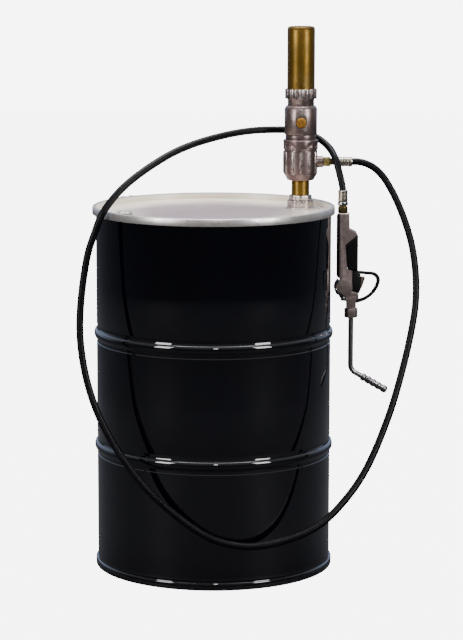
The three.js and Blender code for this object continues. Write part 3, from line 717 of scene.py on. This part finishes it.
@dataclass
class Lid(SubAssembly):
    """The drum's lid and its locking ring."""

    split: float = 1.4
    ring_angle: float = 135.0
    band: float = 0.6

    def build(self) -> None:
        """Build both pieces."""
        axis = Axis.upright("drum_lid")
        self.sheet(axis)
        self.ring(axis)

    def sheet(self, axis: Axis) -> None:
        """Turn the lid with its swaged ring and rim, and open its two holes."""
        profile = [
            (0, 872), (120, 872), (220, 872), (266, 872), (267.5, 873.9), (269.5, 874.5),
            (273.5, 874.5), (275.5, 873.9), (277, 872), (281.8, 872), (282.7, 873), (283, 874.5),
            (283, 885.4), (283.8, 886.7), (285.4, 886.8), (290.5, 886.8), (292, 886.2), (292.6, 884.8),
            (292.6, 880), (291.4, 880), (291.4, 885.2), (290.6, 885.7), (285, 885.7), (284.1, 885.2),
            (284.1, 872.4), (283, 870.9), (277, 870.8), (275, 872.7), (269.5, 873.3), (267.5, 872.6),
            (266, 870.8), (0, 870.8),
        ]
        obj = Bench.turn("lid_sheet", axis, profile, Facets.DRUM)
        for flange, radius in (("bung_flange", 34.0), ("vent_flange", 17.0)):
            Bench.work(obj, Change.CUT, Axis.upright(flange), rod(radius, 850, 885), Facets.FITTING)
        self.fit(obj, "lid_paint", ("drum_lid",))

    def ring(self, axis: Axis) -> None:
        """Turn the locking ring as an open band and thicken it."""
        line = [(295, 870.6), (295.2, 872), (295.2, 884.6), (294.2, 887), (292, 888.2), (289, 888.3),
                (286.9, 887.8), (286.3, 887.4)]
        start = axis.facing(self.ring_angle + self.split)
        obj = Bench.chain("locking_ring", [start.at(r * MM, h * MM) for r, h in line])
        sweep = math.radians(360 - 2 * self.split)
        bpy.ops.mesh.spin(steps=Facets.DRUM - 1, angle=sweep, center=axis.origin, axis=-axis.along)
        Bench.seal(obj)
        Bench.modify(obj, "SOLIDIFY", thickness=self.band * MM, offset=0.0)
        Bench.seal(obj)
        self.fit(obj, "zinc_plate", ("closing_ring",))


@dataclass
class Hose(SubAssembly):
    """The delivery hose, from the pump's outlet round the drum to the gun."""

    bore: float = 17.5
    length: float = 3.038
    stretch_points: int = 8
    route: tuple[Place, ...] = (
        (0.2736, 0.078, 0.987), (0.285, 0.078, 0.987), (0.304, 0.0774, 0.9832), (0.326, 0.0752, 0.9726),
        (0.347, 0.071, 0.953), (0.365, 0.0652, 0.926), (0.382, 0.0575, 0.893), (0.401, 0.045, 0.846),
        (0.4175, 0.026, 0.789), (0.426, 0.001, 0.722), (0.425, -0.024, 0.653), (0.414, -0.046, 0.587),
        (0.389, -0.083, 0.491), (0.354, -0.128, 0.388), (0.298, -0.185, 0.272), (0.246, -0.226, 0.206),
        (0.185, -0.263, 0.155), (0.119, -0.285, 0.127), (0.025, -0.297, 0.11), (-0.063, -0.298, 0.125),
        (-0.155, -0.29, 0.182), (-0.251, -0.267, 0.272), (-0.346, -0.225, 0.424), (-0.385, -0.191, 0.592),
        (-0.3695, -0.17, 0.776), (-0.35, -0.17, 0.84), (-0.329, -0.167, 0.89), (-0.283, -0.137, 0.945),
        (-0.197, -0.071, 1.004), (-0.125, -0.015, 1.035), (-0.006, 0.076, 1.059), (0.08, 0.122, 1.062),
        (0.144, 0.1345, 1.0575), (0.182, 0.122, 1.0455), (0.203, 0.105, 1.033), (0.22, 0.0805, 1.0165),
        (0.2312, 0.0575, 0.9945), (0.2385, 0.0448, 0.968), (0.2445, 0.0375, 0.9435), (0.2485, 0.033, 0.9214),
    )

    def build(self) -> Object:
        """Build the hose as one spline with its real length, and return it."""
        Bench.clear()
        bpy.ops.curve.primitive_bezier_curve_add(location=(0, 0, 0))
        obj = Bench.named("rubber_delivery_hose")
        line = obj.data
        line.splines.clear()
        points = self.smoothed()
        spline = line.splines.new("POLY")
        spline.points.add(len(points) - 1)
        for place, point in zip(points, spline.points):
            point.co = (*place, 1.0)
        line.dimensions = "3D"
        line.bevel_depth = self.bore / 2 * MM
        line.bevel_resolution = 6
        line.use_fill_caps = True
        line.twist_mode = "MINIMUM"
        spline.use_smooth = True
        self.shop.dress(obj, "hose_rubber")
        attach(obj, self.body)
        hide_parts("delivery_hose")
        LOG.info("%s: %d points over %.3f m", obj.name, len(points), self.length)
        return obj

    def declare(self, obj: Object) -> None:
        """Do nothing with the built hose; its facts are not stated here."""

    def smoothed(self) -> list[Vector]:
        """Round the given route off with a centripetal Catmull-Rom curve."""
        given = [Vector(p) for p in self.route]
        line = [given[0] * 2 - given[1], *given, given[-1] * 2 - given[-2]]
        out = [given[0]]
        for a, b, c, d in zip(line, line[1:], line[2:], line[3:]):
            t = [0.0]
            for start, end in ((a, b), (b, c), (c, d)):
                t.append(t[-1] + math.sqrt((end - start).length))
            for i in range(1, self.stretch_points + 1):
                u = t[1] + (t[2] - t[1]) * i / self.stretch_points
                middle = (u - t[1]) / (t[2] - t[1])
                p, q, r = a.lerp(b, u / t[1]), b.lerp(c, middle), c.lerp(d, (u - t[2]) / (t[3] - t[2]))
                out.append(p.lerp(q, u / t[2]).lerp(q.lerp(r, (u - t[1]) / (t[3] - t[1])), middle))
        return out


@dataclass
class BungFitting(SubAssembly):
    """The adaptor that clamps the suction tube in the drum's bung."""

    lobe_radius: float = 31.3
    clamp_radius: float = 27.3
    thread_radius: float = 29.2
    thread_pitch: float = 2.2
    bore: float = 22.3

    def build(self) -> None:
        """Build the lobed head, its screwed nose and the clamping ring."""
        axis = Axis.upright("suction_tube")
        head = Bench.prism("adaptor_head", axis, lobes(self.lobe_radius, 1.5, 6, Facets.BODY), 876.0, 893.0)
        Bench.work(head, Change.JOIN, axis, self.threads(858.5, 875.5) + [(0, 877), (0, 858.5)])
        ring = Bench.prism("clamp_ring", axis, lobes(self.clamp_radius, 0.8, 8, Facets.BODY), 893.4, 905.4)
        for obj, rounding, node in ((head, 1.2, "bung_adaptor"), (ring, 1.4, "adaptor_clamp_nut")):
            Bench.work(obj, Change.CUT, axis, rod(self.bore, 850, 920))
            Bench.soften(obj, rounding, 3, 40)
            self.fit(obj, "adaptor_zinc", (node,))

    def threads(self, low: float, high: float) -> Profile:
        """Return a screwed length's profile as a row of shallow grooves."""
        r, pitch = self.thread_radius, self.thread_pitch
        out = [(r - 0.8, low)]
        for i in range(int((high - low) / pitch)):
            out += [(r - cut, low + pitch * (i + part)) for cut, part in ((0, 0.35), (0, 0.55), (0.9, 0.95))]
        return out + [(r - 0.9, high + 1.5)]


@dataclass
class PumpBody(SubAssembly):
    """The pump above the drum: tube, outlet casting, motor base, collar, cylinder and outlet."""

    tube: float = 22.0
    casting: float = 41.2
    cylinder: float = 34.0
    flutes: int = 16
    rod_bore: float = 6.6
    outlet_height: float = 987.0
    inlet_height: float = 1033.0

    def build(self) -> None:
        """Build the column from the suction tube up to the cylinder's cap, then the outlet."""
        axis = Axis.upright("suction_tube")
        r = self.tube
        tube = [(r - 0.4, 92.4), (r, 93.2), (r, 500), (r, 956.5), (r - 0.4, 957.9), (19.2, 957.9), (19.2, 92.4)]
        self.turned("gold_suction_tube", axis, tube, "gold_chromate", ("suction_tube",), Facets.TUBE)
        outlet = axis.branch(self.outlet_height, RIGHT)
        self.outlet(axis, outlet)
        self.motor(axis)
        self.collar(axis)
        self.top(axis)
        self.fittings(outlet)

    def outlet(self, axis: Axis, outlet: Axis) -> None:
        """Turn the outlet casting, add its ribs and boss, and round it off."""
        r = self.casting
        profile = [(22.5, 942.2), (31, 942.2), (32.6, 943), (39.6, 955.6), (41, 957.4), (r, 959.4), (r, 1013.6),
                   (41.2, 1015.4), (40.4, 1016), (40.4, 1017.2), (41.6, 1017.9), (41.6, 1019.6), (6.5, 1019.6),
                   (6.5, 975), (22.5, 970)]
        body = Bench.turn("outlet_casting", axis, profile, Facets.BODY)
        rib = [(38, -3.2), (42.2, -3), (43.4, -1.6), (43.4, 1.6), (42.2, 3), (38, 3.2)]
        for angle in range(30, 360, 30):
            Bench.combine(body, Bench.prism("rib", axis.facing(angle), rib, 960.4, 1013.2), Change.JOIN)
        boss = [(0, 34), (15.6, 34), (14.4, 44), (14, 50), (14, 55.2), (13.2, 56), (8.6, 56),
                (8.6, 50), (0, 50)]
        Bench.work(body, Change.JOIN, outlet, boss, Facets.FITTING)
        Bench.soften(body, 1.0, 3, 40)
        self.fit(body, "cast_aluminium", ("outlet_body",))

    def motor(self, axis: Axis) -> None:
        """Turn the motor's slotted base with its air inlet's boss, and the ring on it."""
        bore, back = self.rod_bore, 90
        profile = [(bore, 1020.1), (42, 1020.1), (43, 1021.1), (43, 1040.6), (42, 1041.6), (bore, 1041.6)]
        base = Bench.turn("motor_base_ring", axis, profile, Facets.BODY)
        outline = [(40.6, -7.5), (50, -7.5), (50, 7.5), (40.6, 7.5)]
        for angle in range(-60, 241, 30):
            if angle != back:
                slot = Bench.prism("slot", axis.facing(angle), outline, 1023.2, 1033.8)
                Bench.soften(slot, 2.5, 3, 40)
                Bench.combine(base, slot, Change.CUT)
        inlet = [(0, 38.3), (10.6, 38.3), (10, 41.5), (10, 47.2), (9.4, 48), (0, 48)]
        boss = Bench.turn("inlet_boss", axis.branch(self.inlet_height, BACK), inlet, Facets.NIPPLE)
        Bench.work(boss, Change.KEEP, axis, rod(60, 1022.0, 1041.6))
        Bench.combine(base, boss, Change.JOIN)
        Bench.soften(base, 0.7, 2, 40)
        self.fit(base, "cast_aluminium", ("motor_base",))
        ring = [(bore, 1042.1), (37, 1042.1), (37.5, 1042.7), (37.5, 1053.1), (37, 1053.6), (bore, 1053.6)]
        self.turned("motor_collar", axis, ring, "cast_aluminium", ("motor_ring",), Facets.BODY, 0.5)

    def collar(self, axis: Axis) -> None:
        """Build the fluted collar as a deep-lobed ring over a plain neck."""
        outline = lobes(38.0, 1.1, self.flutes, self.flutes * 12, 0.55)
        ring = Bench.prism("fluted_collar", axis, outline, 1142.2, 1165.8)
        neck = [(0, 1125.2), (32.5, 1125.2), (32.5, 1139.6), (34.4, 1142.4), (34.4, 1146), (0, 1146)]
        Bench.work(ring, Change.JOIN, axis, neck, Facets.BODY)
        bore = self.rod_bore
        hole = [(0, 1100), (bore, 1100), (bore, 1150.2), (34.2, 1150.2), (34.2, 1180), (0, 1180)]
        Bench.work(ring, Change.CUT, axis, hole, Facets.TUBE)
        Bench.soften(ring, 0.9, 2, 55)
        self.fit(ring, "cast_aluminium", ("cylinder_collar",), angle=40)

    def top(self, axis: Axis) -> None:
        """Turn the air cylinder and its dished cap."""
        r = self.cylinder
        barrel = [(31.8, 1150.4), (r, 1150.4), (r, 1230), (r, 1309.4), (r - 0.5, 1311), (r - 1.2, 1311.9),
                  (31.8, 1311.9)]
        self.turned("gold_air_cylinder", axis, barrel, "gold_chromate", ("air_cylinder",), Facets.BODY)
        low, high = (corner[2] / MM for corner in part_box("cylinder_cap"))
        crown = [(0, high - 0.1), (26.0, high - 0.6), (31.0, high - 1.8), (33.2, high - 4.2), (33.8, 1312.4),
                 (31.0, 1312.2), (31.0, low + 0.2), (0, low + 0.2)]
        self.turned("cylinder_crown", axis, crown, "gold_chromate", ("cylinder_cap",), Facets.BODY)

    def fittings(self, outlet: Axis) -> None:
        """Build the outlet nipple and the pump-end hose ferrule."""
        nut = Bench.prism("outlet_hex", outlet, hexagon(22.0), 56.6, 72.8)
        stem = [(0, 51), (8.2, 51), (8.2, 91.4), (7.6, 91.9), (5.2, 91.9), (5.2, 88), (0, 88)]
        Bench.work(nut, Change.JOIN, outlet, stem, Facets.NIPPLE)
        Bench.soften(nut, 0.8, 3, 35)
        self.fit(nut, "brass", ("outlet_nipple",))
        self.ferrule("pump_ferrule", outlet, 88.2, 127.0, "hose_ferrule_pump")


@dataclass
class AirMotorDetails(SubAssembly):
    """The valve body and the muffler on its front."""

    valve_radius: float = 40.0
    muffler_height: float = 1085.0

    def build(self) -> None:
        """Build the valve body with its port, and the muffler in it."""
        axis = Axis.upright("suction_tube")
        front = axis.branch(self.muffler_height, -BACK)
        r = self.valve_radius
        profile = [(14.2, 1054.2), (38, 1054.2), (39.4, 1054.9), (r, 1056.2), (r, 1117.4), (39.2, 1119.2),
                   (36.6, 1123.8), (35.4, 1124.6), (14.2, 1124.6)]
        body = Bench.turn("valve_casting", axis, profile, Facets.BODY)
        for radius, depth in ((13.6, 34.0), (8.9, 8.0)):
            Bench.work(body, Change.CUT, front, rod(radius, depth, 60), Facets.FITTING)
        Bench.soften(body, 0.8, 3, 40)
        self.fit(body, "cast_aluminium", ("valve_body",))
        plug = [(0, 17.2), (8.3, 17.2), (8.3, 34.4), (12.8, 34.4), (12.8, 42.6), (11.6, 44.6), (9.6, 46),
                (7, 46.4), (0, 46.4)]
        self.turned("exhaust_muffler", front, plug, "sintered_bronze", ("muffler",), Facets.FITTING, 0.3)


ROUNDED_NODES = {
    "ring_lug_plain": 0.8, "ring_lug_threaded": 0.8, "ring_bolt": 0.4, "ring_nut": 0.4, "bung_flange": 0.4,
    "vent_flange": 0.4, "vent_plug": 0.5, "air_inlet_nipple": 0.3, "foot_valve_body": 0.4, "grip_cover": 1.2,
    "handle_insert": 0.8, "head_bumper": 0.8, "bumper_screw": 0.3, "trigger_guard": 1.6, "trigger": 0.8,
    "trigger_pin": 0.2, "gun_body": 1.0, "spout_nut": 0.6, "valve_cap": 0.3, "valve_spring": 0.0,
}


@dataclass
class RefinedPieces(SubAssembly):
    """Merged copies of CAD nodes whose shape is right, with rounded edges and smooth round faces."""

    spring_seat: Place = (0.2381, 0.033, 0.683)
    spring_keep: float = 0.57

    def build(self) -> None:
        """Refine every node of the list, and give the valve spring a mesh of its own."""
        slots = {part["node"]: part["material_slot"] for part in frame["record"]["subparts"]}
        made = {node: self.refine(node, rounding, slots[node]) for node, rounding in ROUNDED_NODES.items()}
        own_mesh(made["valve_spring"])

    def refine(self, name: str, rounding: float, slot: str) -> Object:
        """Copy a node, merge its loose triangles, and round its edges.

        Args:
            name: The node.
            rounding: Width of its rounded edges, in millimetres.
            slot: Its finish and record slot.

        Returns:
            The refined piece.
        """
        node = frame["nodes"][name]
        Bench.activate(node)
        bpy.ops.object.duplicate()
        obj = Bench.named("refined_" + name)
        for key in [k for k in obj.keys() if k.startswith("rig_")]:
            del obj[key]
        bpy.ops.object.parent_clear(type="CLEAR_KEEP_TRANSFORM")
        bpy.ops.object.transform_apply(location=True, rotation=True, scale=True)
        Bench.edit()
        bpy.ops.mesh.remove_doubles(threshold=1e-5)
        bpy.ops.mesh.dissolve_limited(angle_limit=math.radians(1.0))
        bpy.ops.object.mode_set(mode="OBJECT")
        if rounding:
            Bench.soften(obj, rounding, 3, 34)
        return self.fit(obj, slot, (name,), node["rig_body"])


@dataclass
class GunFittings(SubAssembly):
    """The gun's new pieces: ferrule, swivel, inlet, guard cheeks, spout and nozzle sleeve."""

    body: str = "gun"
    ferrule_span: Pair = (893.3, 921.0)
    spout_x: float = 22.0
    spout_top: float = 645.0
    spout_radius: float = 6.5
    spout_wall: float = 1.6
    bend: float = 60.0
    bend_radius: float = 24.0
    bend_top: float = 489.0
    reach: float = 79.0
    bore_depth: float = 12.0

    def build(self) -> None:
        """Build the stack above the gun, the cheeks, and the spout below."""
        axis = Axis.upright("swivel_collar")
        low, high = self.ferrule_span
        downwards = Axis(axis.at(0, (low + high) * MM), -axis.along, axis.side)
        self.ferrule("gun_ferrule", downwards, low, high, "hose_ferrule_gun")
        stub = rod(6.8, 880.2, 893.4)
        self.turned("gun_ferrule_stub", axis, stub, "nickel_plate", steps=Facets.STUB, body="base")
        swivel = [(7.5, 884.5), (12.3, 884.5), (12.9, 885.3), (13, 886.4), (13, 890.8), (12.8, 891.8),
                  (11.9, 892.9), (7.5, 892.9)]
        self.turned("swivel_ring", axis, swivel, "polished_rod", ("swivel_collar",), Facets.FERRULE)
        fitting = Bench.prism("inlet_hex", axis, hexagon(21.0), 866.2, 879.6)
        cone = [(0, 870), (11, 870), (11, 880.5), (9.6, 882.6), (9.2, 883.9), (7.2, 883.9), (7.2, 876),
                (0, 876)]
        Bench.work(fitting, Change.JOIN, axis, cone, Facets.FITTING)
        Bench.soften(fitting, 0.8, 3, 35)
        self.fit(fitting, "brass", ("gun_inlet_fitting",))
        self.cheeks(axis)
        self.sleeve(*self.spout(axis))

    def cheeks(self, axis: Axis) -> None:
        """Raise the guard's two black cheeks, which stand either side of the trigger. Their black stands partly
        for real black plastic and partly for painted shade beside the trigger.
        """
        across = Axis(axis.origin, -BACK, RIGHT)
        outline = [(24.7, 722.6), (38, 722.6), (44, 716), (46.5, 704), (46, 690), (43, 676),
                   (40, 668.8), (24.7, 672.8)]
        for name, low, high in (("front_guard_cheek", 7.3, 10.8), ("rear_guard_cheek", -10.8, -7.3)):
            # Painted shade in part: the black cheeks darken the space beside the trigger.
            cheek = Bench.prism(name, across, outline, low, high)
            Bench.soften(cheek, 1.2, 3, 30)
            self.fit(cheek, "black_plastic")

    def spout(self, axis: Axis) -> tuple[Vector, Vector]:
        """Sweep the bent spout by extruding and spinning its end.

        Args:
            axis: The gun's axis.

        Returns:
            The end of the bend, and the direction in which the spout runs on from it.
        """
        spot = axis.at(self.spout_x * MM, self.spout_top * MM)
        turn, radius = math.radians(self.bend), self.bend_radius * MM
        run = Vector((math.sin(turn), 0, -math.cos(turn)))
        centre = Vector((spot.x + radius, spot.y, self.bend_top * MM))
        Bench.clear()
        bpy.ops.mesh.primitive_circle_add(vertices=Facets.STUB, radius=self.spout_radius * MM, fill_type="NGON",
                                          location=spot)
        tube = Bench.named("bent_spout")
        bpy.ops.object.transform_apply(location=True, rotation=True, scale=True)
        Bench.edit("FACE")
        Bench.extrude(Vector((0, 0, centre.z - spot.z)))
        bpy.ops.mesh.spin(steps=16, angle=turn, center=centre, axis=(0, 1, 0))
        Bench.extrude(run * self.reach * MM)
        bpy.ops.mesh.inset(thickness=self.spout_wall * MM, depth=0.0)
        Bench.extrude(run * -self.bore_depth * MM)
        Bench.seal(tube)
        self.fit(tube, "spout_plate", ("spout_tube",))
        return centre - Vector((math.cos(turn), 0, math.sin(turn))) * radius, run

    def sleeve(self, start: Vector, run: Vector) -> None:
        """Turn the ribbed sleeve about the spout's last stretch."""
        foot, pitch = 18.2, 14.0
        rib = ((7.8, 0), (9, 1.2), (9.5, 2.4), (9.5, 7.4), (9, 8.8), (8, 10.2))
        profile = [(7.3, foot)]
        profile += [(r, foot + pitch * i + h) for i in range(4) for r, h in rib]
        profile += [(8, 76.8), (9.2, 78.4), (9.5, 80), (9.3, 83.5), (8.7, 86.6), (6.7, 89.6), (4.2, 89.8),
                    (4.2, 79.8), (7.3, 79.8)]
        axis = Axis(start, run, run.cross(BACK))
        self.turned("ribbed_nozzle_sleeve", axis, profile, "spout_plate", ("nozzle_sleeve",), Facets.FITTING,
                    body="nozzle_sleeve")


@dataclass
class CarriedOver:
    """The CAD nodes that keep their shape and get their record slot's finish."""

    shop: FinishShop

    def build(self) -> None:
        """Dress every CAD node in the finish of its slot, with its sharp edges kept."""
        for part in frame["record"]["subparts"]:
            node = frame["nodes"][part["node"]]
            self.shop.dress(node, part["material_slot"])
            node.data.polygons.foreach_set("use_smooth", [False] * len(node.data.polygons))
            LOG.info("%s: kept, %s", node.name, part["material_slot"])


# ------------------------------------------------------------------ studio


@dataclass(frozen=True)
class Lamp:
    """One soft rectangular lamp: its place, the point that it faces, its size in metres and its watts."""

    name: str
    place: Place
    aim: Place
    size: Pair
    power: float

    def hang(self) -> None:
        """Hang the lamp in its place."""
        Bench.clear()
        facing = (Vector(self.aim) - Vector(self.place)).to_track_quat("-Z", "Y").to_euler()
        bpy.ops.object.light_add(type="AREA", location=self.place, rotation=facing)
        lamp = Bench.named(self.name)
        lamp.data.shape = "RECTANGLE"
        lamp.data.size, lamp.data.size_y = self.size
        lamp.data.energy = self.power


@dataclass
class Studio:
    """The camera, the paper floor, the pale room and the soft lamps."""

    shop: FinishShop
    lens: float = 136.0
    sensor: float = 36.0
    stand: Place = (-0.068, -5.856, 1.545)
    pitch: float = 80.88
    shift: float = 0.028
    floor_size: float = 30.0
    floor_glow: float = 6.6
    room_glow: float = 7.0
    lamps: tuple[Lamp, ...] = (
        Lamp("strip_left", (-2.7, -2.3, 2.0), (-0.1, 0.0, 0.7), (1.0, 1.7), 78.0),
        Lamp("strip_right", (2.6, -2.4, 2.0), (0.1, 0.0, 0.7), (1.0, 1.7), 84.0),
        Lamp("small_front", (0.1, -4.2, 2.7), (0.0, 0.0, 0.7), (0.3, 0.5), 16.0),
        Lamp("overhead", (0.0, 0.4, 4.2), (0.0, 0.0, 0.8), (3.0, 2.4), 230.0),
    )

    def build(self) -> None:
        """Set up the whole studio."""
        self.camera()
        self.floor()
        self.surround()
        for lamp in self.lamps:
            lamp.hang()

    def camera(self) -> None:
        """Place the camera at the viewing angle."""
        Bench.clear()
        bpy.ops.object.camera_add(location=self.stand, rotation=(math.radians(self.pitch), 0.0, 0.0))
        camera = Bench.named("camera")
        camera.data.lens = self.lens
        camera.data.sensor_width = self.sensor
        camera.data.shift_x = self.shift
        bpy.context.scene.camera = camera

    def floor(self) -> None:
        """Lay a plain pale floor."""
        Bench.clear()
        bpy.ops.mesh.primitive_plane_add(size=self.floor_size, location=(0, 0, 0))
        floor = Bench.named("floor")
        floor.data.materials.append(self.paper())

    def paper(self) -> bpy.types.Material:
        """Return the floor's matt paper, which glows to the camera and keeps a faint shadow under the drum."""
        made = self.shop.finishes["floor_paper"].material()
        tree = made.node_tree
        shader, output = (next(n for n in tree.nodes if n.type == kind)
                          for kind in ("BSDF_PRINCIPLED", "OUTPUT_MATERIAL"))
        glow, seen, blend, keep = (tree.nodes.new("ShaderNode" + kind)
                                   for kind in ("Emission", "LightPath", "AddShader", "MixShader"))
        glow.inputs["Strength"].default_value = self.floor_glow
        for source, target in (
            (shader.outputs[0], blend.inputs[0]), (glow.outputs[0], blend.inputs[1]),
            (seen.outputs["Is Camera Ray"], keep.inputs[0]), (shader.outputs[0], keep.inputs[1]),
            (blend.outputs[0], keep.inputs[2]), (keep.outputs[0], output.inputs["Surface"]),
        ):
            tree.links.new(source, target)
        return made

    def surround(self) -> None:
        """Set a room that is white to the eye, and that shades from dim at eye level to bright overhead."""
        world = bpy.data.worlds.new("pale_room")
        world.use_nodes = True
        graph = Graph(world.node_tree)
        split = graph.add("SeparateXYZ", {0: graph.add("TexCoord").outputs["Generated"]})
        rise = graph.ramp(split.outputs["Z"], 0.02, 0.8, 0.06, 0.5)
        back = graph.ramp(split.outputs["Y"], 0.1, 0.8, 0.0, 0.55)
        tint = graph.blend(back, (0.95, 0.97, 1.0, 1.0), (0.28, 0.48, 1.0, 1.0))
        room = graph.add("Background", {"Color": tint, "Strength": graph.math("ADD", rise, back)})
        white = graph.add("Background", {"Color": (1.0, 1.0, 1.0, 1.0), "Strength": self.room_glow})
        seen = graph.add("LightPath").outputs["Is Camera Ray"]
        both = graph.add("MixShader", {0: seen, 1: room.outputs[0], 2: white.outputs[0]})
        graph.add("OutputWorld", {"Surface": both.outputs[0]})
        bpy.context.scene.world = world


def main() -> None:
    """Build the studio and every sub-assembly, in order."""
    logging.basicConfig(level=logging.INFO, format="%(name)s: %(message)s")
    shop = FinishShop.stocked()
    Studio(shop).build()
    hose = Hose(shop)
    line = hose.build()
    for part in (CarriedOver, Drum, Lid, BungFitting, PumpBody, AirMotorDetails, GunFittings, RefinedPieces):
        part(shop).build()
    hose.declare(line)


if __name__ == "__main__":
    main()
